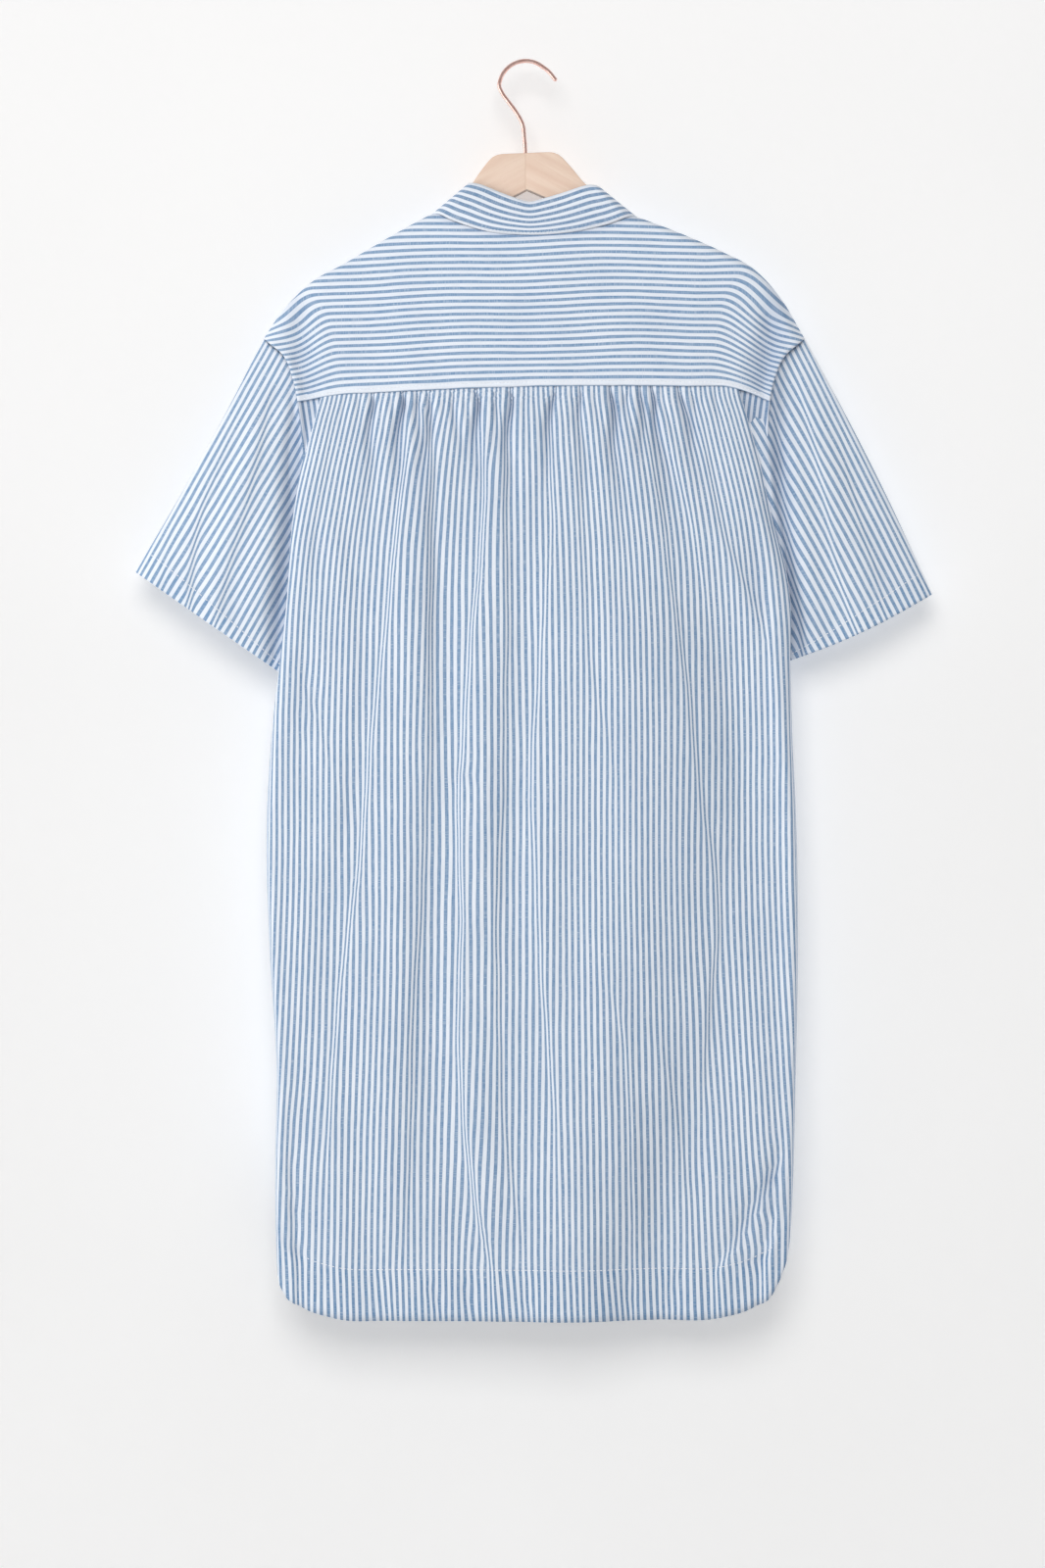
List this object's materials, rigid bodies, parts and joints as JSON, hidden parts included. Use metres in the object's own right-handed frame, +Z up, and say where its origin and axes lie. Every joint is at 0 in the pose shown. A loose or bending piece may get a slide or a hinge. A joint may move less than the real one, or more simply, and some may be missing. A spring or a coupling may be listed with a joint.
{
  "type": "shirt dress on a hanger",
  "caption": "Band-collared cotton shirt dress with a gathered back, drop sleeves and a button front, hung on a flat wooden hanger.",
  "frame": {"origin": "the inside top of the hanger's hook, where a rail or peg carries it", "axes": "+Z up, +Y out of the dress's front, +X towards the wearer's right side; seen from -Y the back of the dress shows"},
  "size_m": [0.7689, 0.0731, 1.2125],
  "materials": {
    "striped_cotton": "matte woven cotton with fine blue and white stripes along the piece",
    "crosswise_cotton": "the same cotton with its stripes running across",
    "button": "polished",
    "wood": "fine-sanded pale wood with a satin lacquer",
    "copper_wire": "polished copper plating"
  },
  "bodies": {
    "root": {"back_panel": "striped_cotton", "yoke": "crosswise_cotton", "front_left": "striped_cotton", "front_right": "striped_cotton", "placket": "striped_cotton", "collar_band": "crosswise_cotton", "sleeve_left": "striped_cotton", "sleeve_right": "striped_cotton", "button_band": "button", "button_1": "button", "button_2": "button", "button_3": "button", "button_4": "button", "button_5": "button", "button_6": "button", "button_7": "button", "button_8": "button", "button_9": "button", "hanger_body": "wood", "hanger_hook": "copper_wire"}
  },
  "joints": []
}
